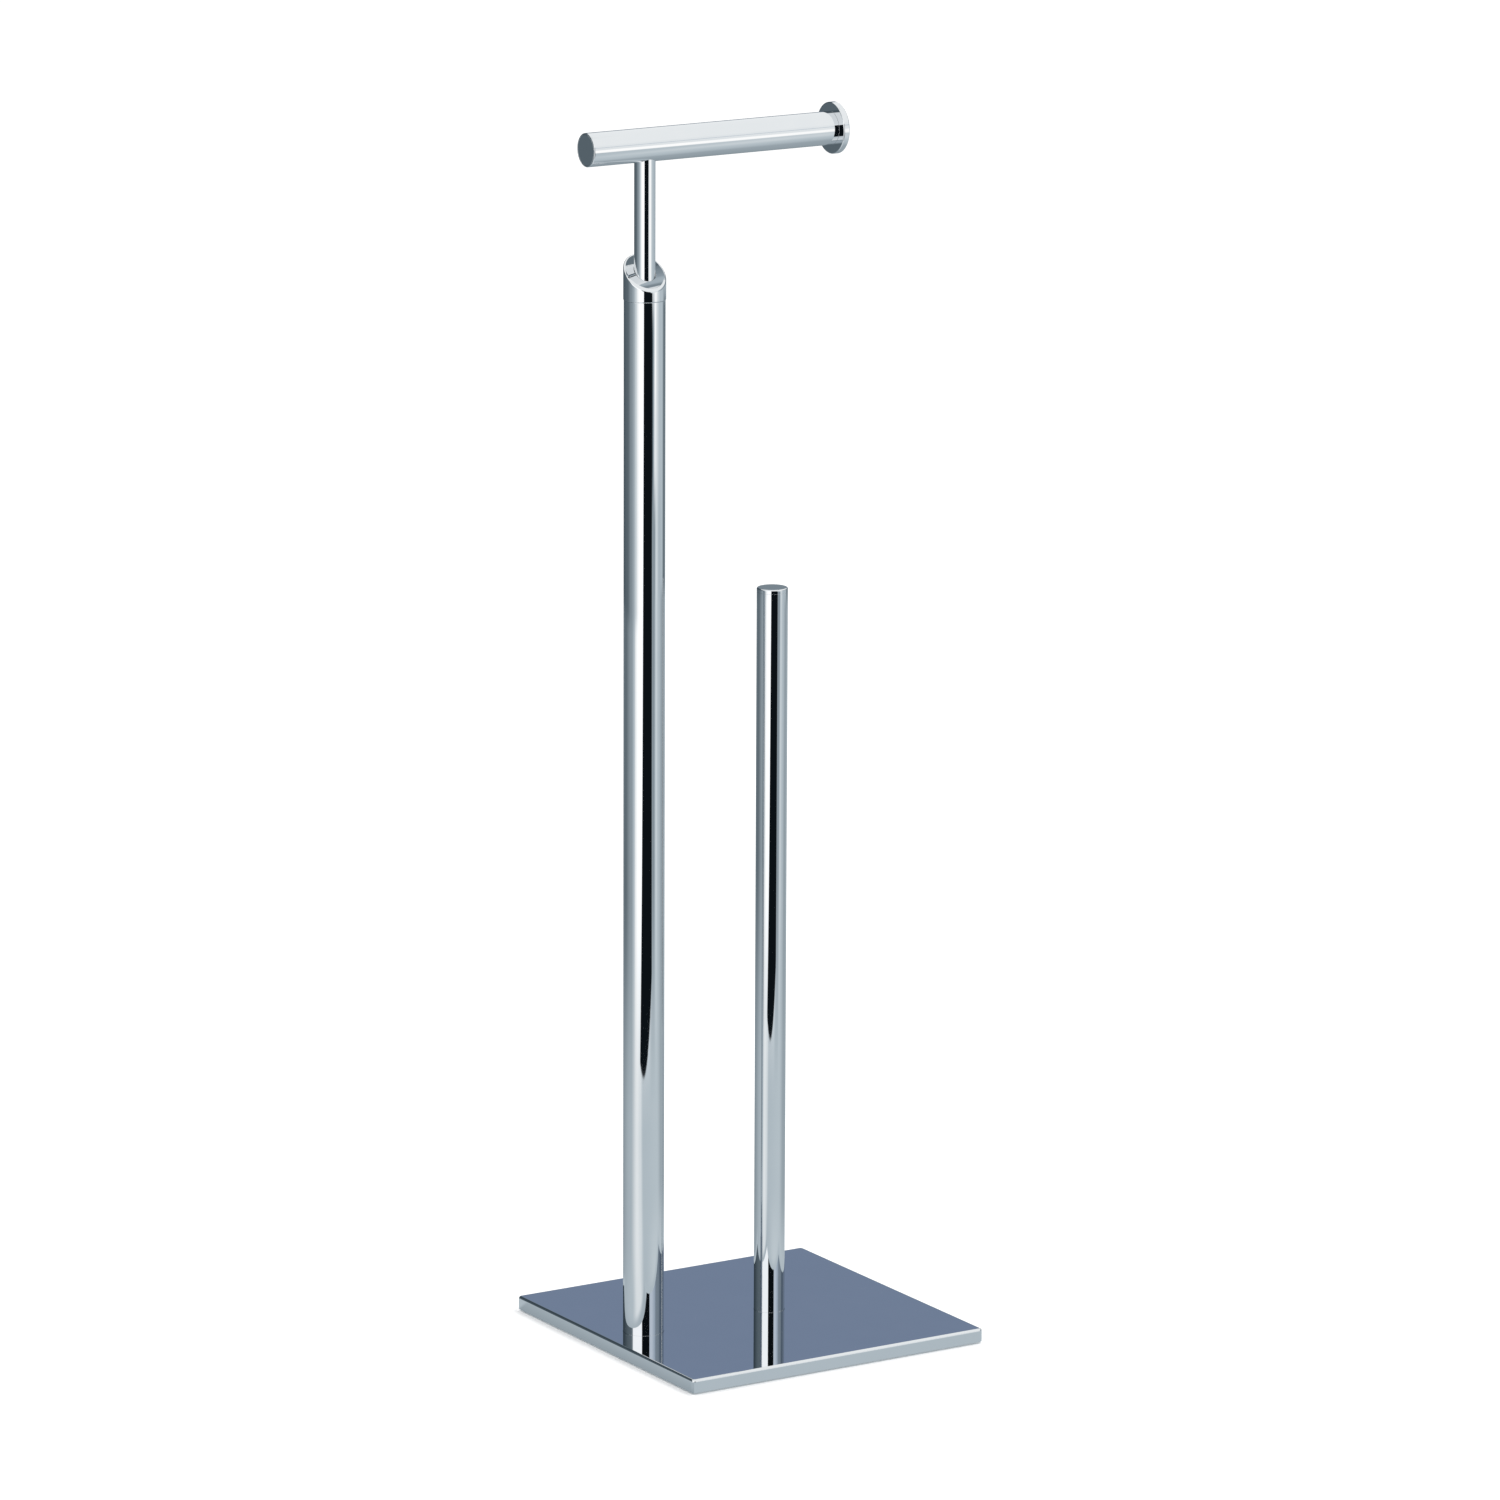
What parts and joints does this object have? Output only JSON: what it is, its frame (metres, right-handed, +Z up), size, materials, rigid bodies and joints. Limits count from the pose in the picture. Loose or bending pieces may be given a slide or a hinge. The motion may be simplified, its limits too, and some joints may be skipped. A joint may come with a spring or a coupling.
{
  "type": "freestanding toilet paper holder",
  "caption": "Chrome toilet paper stand: square plate, tall post with a slanted collar and a swivelling roll arm that ends in a stop disc, and a shorter post for spare rolls.",
  "frame": {"origin": "on the floor, in the middle of the whole footprint; the plate's centre is 6 mm to the right of it, because the arm's closed end overhangs the plate on the left", "axes": "+Z up; the roll arm runs along X with its stop disc towards +X; the collar's slanted face looks to the front, -Y"},
  "size_m": [0.212, 0.2, 0.7262],
  "materials": {
    "polished_chrome": "mirror polished chrome plate",
    "foot_rubber": "matte moulded rubber",
    "zinc_steel": "turned, zinc plated",
    "spring_steel": "rolled spring strip",
    "nylon": "natural nylon",
    "turned_brass": "turned, unplated"
  },
  "bodies": {
    "stand": {"base_plate": "polished_chrome", "foot_pad_front_left": "foot_rubber", "foot_pad_front_right": "foot_rubber", "foot_pad_rear_left": "foot_rubber", "foot_pad_rear_right": "foot_rubber", "post_tube": "polished_chrome", "post_foot_plug": "zinc_steel", "post_base_screw": "zinc_steel", "collar": "polished_chrome", "collar_grub_screw": "zinc_steel", "swivel_thrust_washer": "nylon", "swivel_wave_spring": "spring_steel", "swivel_retainer": "turned_brass", "spare_post_tube": "polished_chrome", "spare_post_cap": "polished_chrome", "spare_post_foot_plug": "zinc_steel", "spare_post_base_screw": "zinc_steel"},
    "arm": {"stem": "polished_chrome", "arm_tube": "polished_chrome", "arm_hub": "zinc_steel", "arm_hub_stud": "zinc_steel", "arm_end_cap": "polished_chrome", "arm_flange": "polished_chrome", "flange_stud": "zinc_steel", "arm_end_insert": "turned_brass"}
  },
  "joints": [
    {"name": "arm_swivel", "type": "hinge", "parent": "stand", "child": "arm", "pos_m": [-0.0669, 0, 0.638], "axis": [0, 0, 1], "continuous": true}
  ]
}
